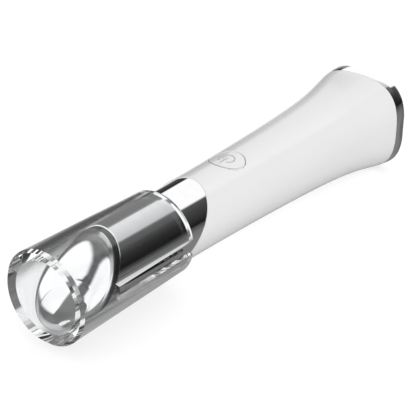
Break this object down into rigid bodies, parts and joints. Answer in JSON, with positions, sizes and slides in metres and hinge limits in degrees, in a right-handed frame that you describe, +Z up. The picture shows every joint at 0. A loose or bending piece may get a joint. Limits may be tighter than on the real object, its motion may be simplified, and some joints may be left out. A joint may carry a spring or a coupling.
{
  "type": "heated eye massager wand",
  "caption": "Slim wand with a slanted metal massage dome, chrome sleeve, flared white handle with power button and charging socket, and a clear slotted push-on cap.",
  "frame": {"origin": "on the table under the middle of the wand, which lies on its side with the button up", "axes": "+Y along the wand from the capped head to the base, +Z up through the power button, +X to one side"},
  "size_m": [0.026, 0.124, 0.026],
  "materials": {
    "clear_acrylic": "polished clear",
    "dome_chrome": "mirror",
    "sleeve_chrome": "mirror",
    "dark_gloss": "gloss",
    "white_plastic": "satin",
    "natural_plastic": "matte",
    "black_part": "matte",
    "board_green": "satin",
    "amber_film": "satin",
    "seal_rubber": "matte",
    "foam": "open-cell foam",
    "cell_skin": "shrink sleeve",
    "aluminium": "plain",
    "switch_steel": "nickel",
    "weight_metal": "sintered",
    "brass": "turned"
  },
  "bodies": {
    "wand": {"massage_dome": "dome_chrome", "heater_plate": "aluminium", "heater_film": "amber_film", "thermistor": "black_part", "head_ring": "dark_gloss", "head_seal": "seal_rubber", "head_sleeve": "sleeve_chrome", "neck_seal": "seal_rubber", "handle_shell": "white_plastic", "tact_switch": "switch_steel", "main_board": "board_green", "board_parts": "black_part", "board_screws": "switch_steel", "core_chassis": "natural_plastic", "battery_cell": "cell_skin", "battery_terminal": "switch_steel", "battery_foam": "foam", "motor_cradle": "natural_plastic", "motor_boot": "seal_rubber", "motor_can": "switch_steel", "motor_bush": "brass", "tail_ring": "sleeve_chrome", "base_plate": "white_plastic", "charge_socket": "switch_steel", "socket_tongue": "black_part", "charge_board": "board_green"},
    "cap": {"clear_cap": "clear_acrylic"},
    "button": {"power_button": "white_plastic", "switch_plunger": "black_part"},
    "rotor": {"motor_shaft": "switch_steel", "motor_weight": "weight_metal"}
  },
  "joints": [
    {"name": "cap_slide", "type": "slide", "parent": "wand", "child": "cap", "axis": [0, -1, 0], "range_m": [0, 0.045]},
    {"name": "button_press", "type": "slide", "parent": "wand", "child": "button", "axis": [0, 0, -1], "range_m": [0, 0.0004], "stiffness_N_per_m": 2000, "springref_m": -0.0003},
    {"name": "motor_spin", "type": "hinge", "parent": "wand", "child": "rotor", "pos_m": [0, -0.037, 0.013], "axis": [0, 1, 0], "continuous": true}
  ]
}
